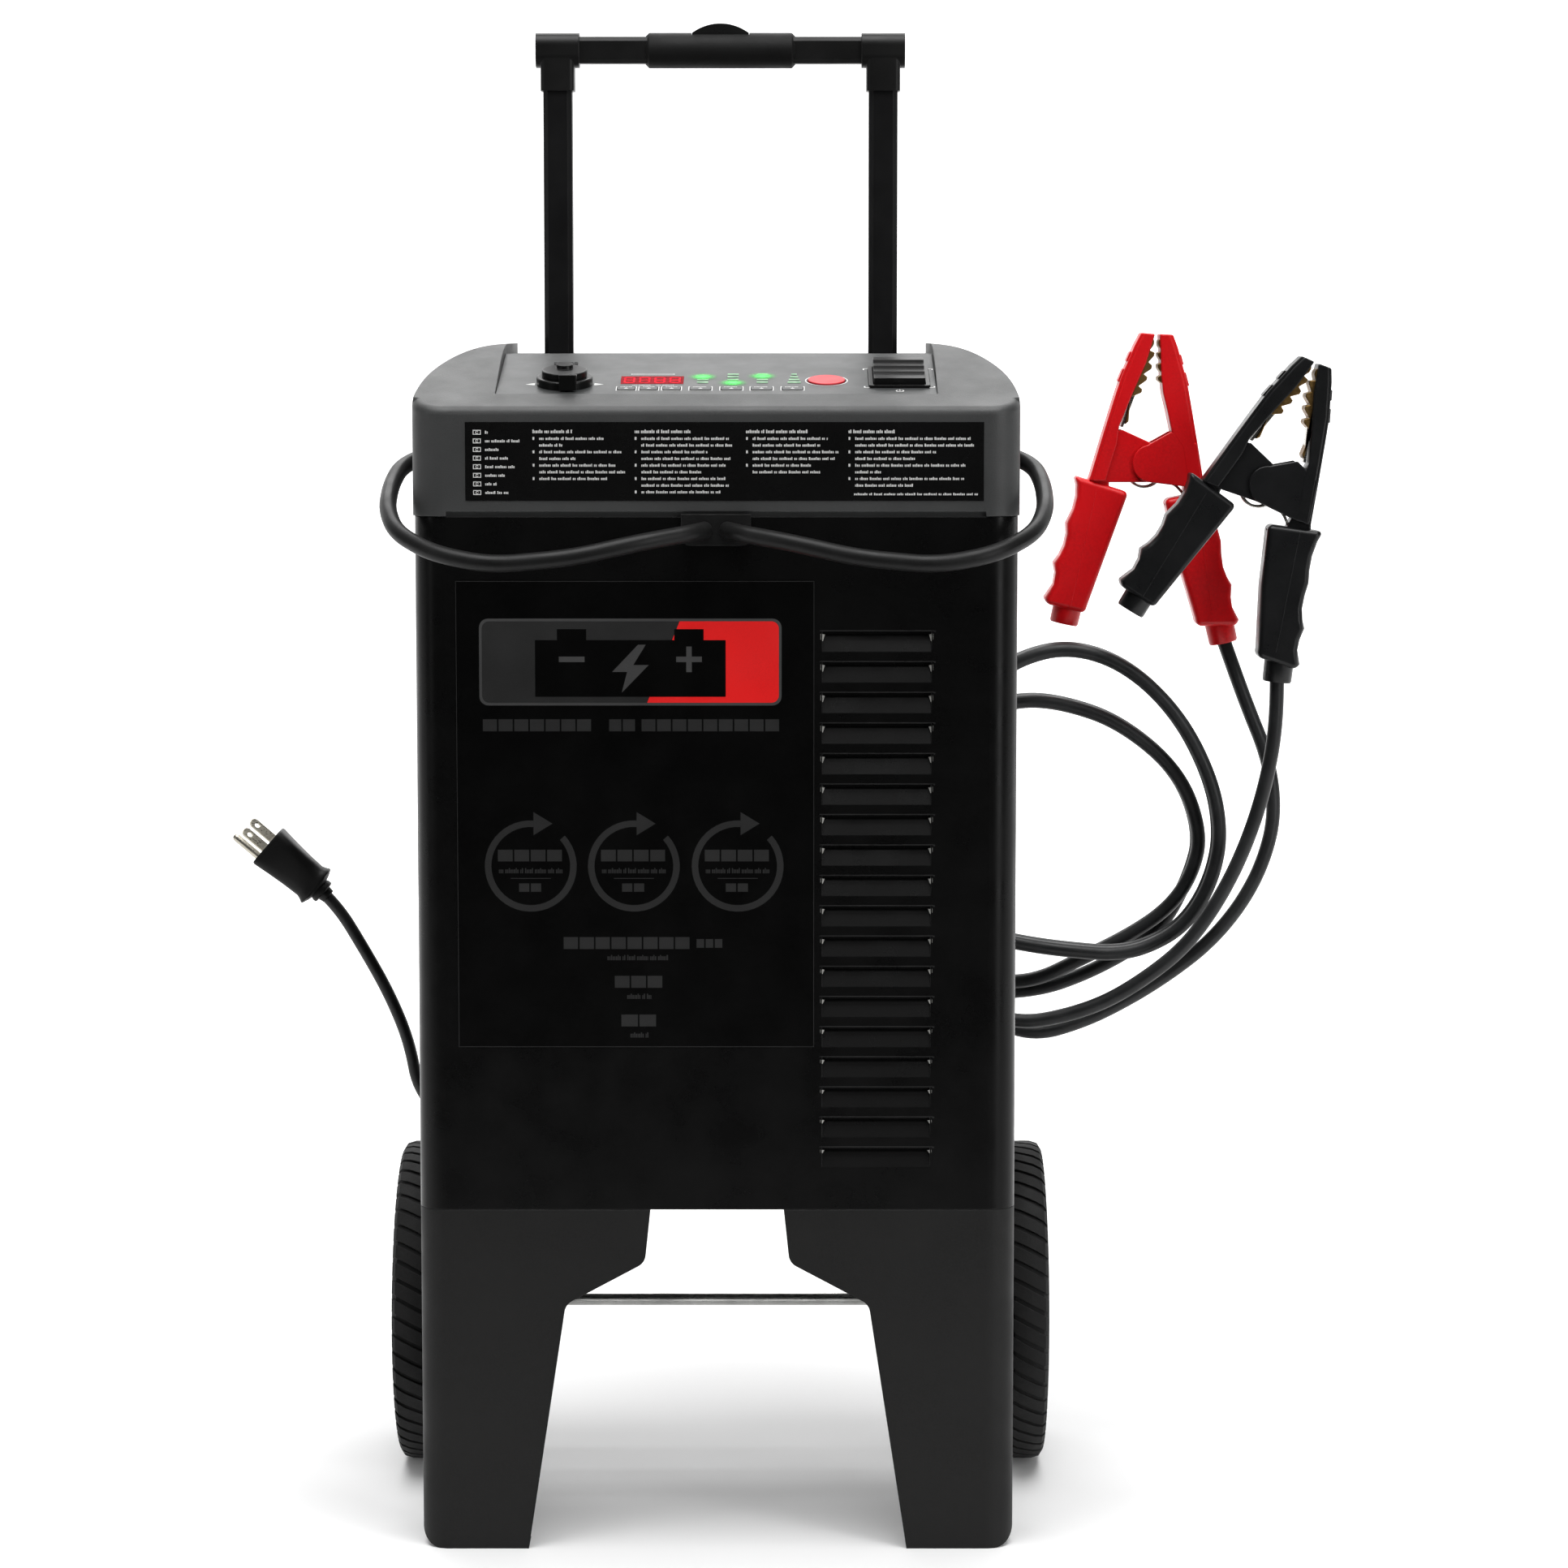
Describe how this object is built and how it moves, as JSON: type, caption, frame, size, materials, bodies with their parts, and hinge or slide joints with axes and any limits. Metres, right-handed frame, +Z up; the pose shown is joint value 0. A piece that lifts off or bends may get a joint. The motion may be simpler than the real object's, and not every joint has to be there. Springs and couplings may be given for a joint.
{
  "type": "car battery charger",
  "caption": "Wheeled car battery charger: louvred steel case on legs and two wheels, sloped control panel, telescoping handle, cord rails, mains cord with plug, and leads with spring clamps.",
  "frame": {"origin": "on the floor, under the middle of the box round the charger without its cords, plug, leads and clamps", "axes": "X to the right as seen from the front, Y to the back, Z up"},
  "size_m": [0.6556, 0.347, 0.8529],
  "materials": {
    "case_paint": "fine textured semi-gloss powder coat",
    "leg_paint": "satin powder coat",
    "housing_plastic": "fine moulded texture",
    "panel_plastic": "fine matte",
    "display_window": "tinted window",
    "led_lens": "translucent lens",
    "key_plastic": "soft satin",
    "start_red": "satin",
    "switch_black": "satin",
    "label_film": "semi-gloss printed film",
    "rail_paint": "satin powder coat",
    "zinc_steel": "bright zinc plate",
    "tyre_rubber": "moulded rubber",
    "rim_plastic": "moulded",
    "handle_paint": "satin",
    "handle_plastic": "satin moulded",
    "grip_rubber": "soft matte",
    "red_plastic": "moulded satin gloss",
    "black_plastic": "moulded satin gloss",
    "cord_rubber": "smooth jacket",
    "brass": "aged",
    "spring_steel": "bright wire",
    "core_iron": "stacked laminations",
    "winding_copper": "varnished winding with tape",
    "sink_aluminium": "extruded",
    "board_green": "solder mask",
    "port_plastic": "satin"
  },
  "bodies": {
    "chassis": {"case_wrap": "case_paint", "rear_panel": "case_paint", "base_tray": "leg_paint", "legs": "leg_paint", "axle": "zinc_steel", "axle_caps": "zinc_steel", "top_housing": "housing_plastic", "control_panel": "panel_plastic", "display_window": "display_window", "led_bars": "led_lens", "instruction_label": "label_film", "front_decal": "label_film", "rail_bracket": "rail_paint", "left_rail": "rail_paint", "right_rail": "rail_paint", "guide_tubes": "zinc_steel", "switch_bezel": "switch_black", "port_flange": "port_plastic", "transformer_core": "core_iron", "transformer_windings": "winding_copper", "heat_sink": "sink_aluminium", "control_board": "board_green", "fan_frame": "switch_black", "cord_glands": "switch_black", "case_screws": "zinc_steel", "red_fixed_arm": "red_plastic", "black_fixed_arm": "black_plastic", "clamp_fixed_jaws": "brass", "clamp_springs": "spring_steel", "clamp_pins": "spring_steel", "mains_cord": "cord_rubber", "mains_coil": "cord_rubber", "mains_plug": "black_plastic", "plug_blades": "brass", "red_lead": "cord_rubber", "black_lead": "cord_rubber", "lead_coil": "cord_rubber"},
    "left_wheel": {"left_tyre": "tyre_rubber", "left_rim": "rim_plastic"},
    "right_wheel": {"right_tyre": "tyre_rubber", "right_rim": "rim_plastic"},
    "handle": {"handle_tubes": "handle_paint", "handle_crossbar": "handle_plastic", "handle_grip": "grip_rubber"},
    "release": {"release_button": "handle_plastic"},
    "start": {"start_button": "start_red"},
    "rocker": {"power_rocker": "switch_black"},
    "cap": {"port_cap": "port_plastic"},
    "fan": {"fan_rotor": "switch_black"},
    "red_swing_arm": {"red_moving_arm": "red_plastic", "red_moving_jaw": "brass"},
    "black_swing_arm": {"black_moving_arm": "black_plastic", "black_moving_jaw": "brass"},
    "key_1_body": {"key_1": "key_plastic"},
    "key_2_body": {"key_2": "key_plastic"},
    "key_3_body": {"key_3": "key_plastic"},
    "key_4_body": {"key_4": "key_plastic"},
    "key_5_body": {"key_5": "key_plastic"},
    "key_6_body": {"key_6": "key_plastic"},
    "key_7_body": {"key_7": "key_plastic"}
  },
  "joints": [
    {"name": "left_wheel_spin", "type": "hinge", "parent": "chassis", "child": "left_wheel", "pos_m": [-0.18, 0.0785, 0.095], "axis": [1, 0, 0], "continuous": true},
    {"name": "right_wheel_spin", "type": "hinge", "parent": "chassis", "child": "right_wheel", "pos_m": [0.18, 0.0785, 0.095], "axis": [1, 0, 0], "continuous": true},
    {"name": "handle_slide", "type": "slide", "parent": "chassis", "child": "handle", "axis": [0, 0, 1], "range_m": [-0.15, 0]},
    {"name": "release_press", "type": "slide", "parent": "handle", "child": "release", "axis": [0, 0, -1], "range_m": [0, 0.004], "stiffness_N_per_m": 400, "springref_m": -0.003},
    {"name": "start_press", "type": "slide", "parent": "chassis", "child": "start", "axis": [0, 0.2324, -0.9726], "range_m": [0, 0.0008], "stiffness_N_per_m": 1200, "springref_m": -0.0008},
    {"name": "rocker_tilt", "type": "hinge", "parent": "chassis", "child": "rocker", "pos_m": [0.1006, -0.07135, 0.64423], "axis": [1, 0, 0], "range_deg": [0, 8]},
    {"name": "cap_lift", "type": "hinge", "parent": "chassis", "child": "cap", "pos_m": [-0.084, -0.06871, 0.65597], "axis": [-1, 0, 0], "range_deg": [0, 110]},
    {"name": "fan_spin", "type": "hinge", "parent": "chassis", "child": "fan", "pos_m": [0, 0.081, 0.44], "axis": [0, 1, 0], "continuous": true},
    {"name": "red_clamp_open", "type": "hinge", "parent": "chassis", "child": "red_swing_arm", "pos_m": [0.257, 0.1445, 0.596], "axis": [0, -1, 0], "range_deg": [0, 32], "stiffness_Nm_per_rad": 1, "springref_deg": -28.65},
    {"name": "black_clamp_open", "type": "hinge", "parent": "chassis", "child": "black_swing_arm", "pos_m": [0.323, 0.1015, 0.585], "axis": [0, -1, 0], "range_deg": [0, 32], "stiffness_Nm_per_rad": 1, "springref_deg": -28.65},
    {"name": "key_1_press", "type": "slide", "parent": "chassis", "child": "key_1_body", "axis": [0, 0.2324, -0.9726], "range_m": [0, 0.0005], "stiffness_N_per_m": 1000, "springref_m": -0.0005},
    {"name": "key_2_press", "type": "slide", "parent": "chassis", "child": "key_2_body", "axis": [0, 0.2324, -0.9726], "range_m": [0, 0.0005], "stiffness_N_per_m": 1000, "springref_m": -0.0005},
    {"name": "key_3_press", "type": "slide", "parent": "chassis", "child": "key_3_body", "axis": [0, 0.2324, -0.9726], "range_m": [0, 0.0005], "stiffness_N_per_m": 1000, "springref_m": -0.0005},
    {"name": "key_4_press", "type": "slide", "parent": "chassis", "child": "key_4_body", "axis": [0, 0.2324, -0.9726], "range_m": [0, 0.0005], "stiffness_N_per_m": 1000, "springref_m": -0.0005},
    {"name": "key_5_press", "type": "slide", "parent": "chassis", "child": "key_5_body", "axis": [0, 0.2324, -0.9726], "range_m": [0, 0.0005], "stiffness_N_per_m": 1000, "springref_m": -0.0005},
    {"name": "key_6_press", "type": "slide", "parent": "chassis", "child": "key_6_body", "axis": [0, 0.2324, -0.9726], "range_m": [0, 0.0005], "stiffness_N_per_m": 1000, "springref_m": -0.0005},
    {"name": "key_7_press", "type": "slide", "parent": "chassis", "child": "key_7_body", "axis": [0, 0.2324, -0.9726], "range_m": [0, 0.0005], "stiffness_N_per_m": 1000, "springref_m": -0.0005}
  ]
}
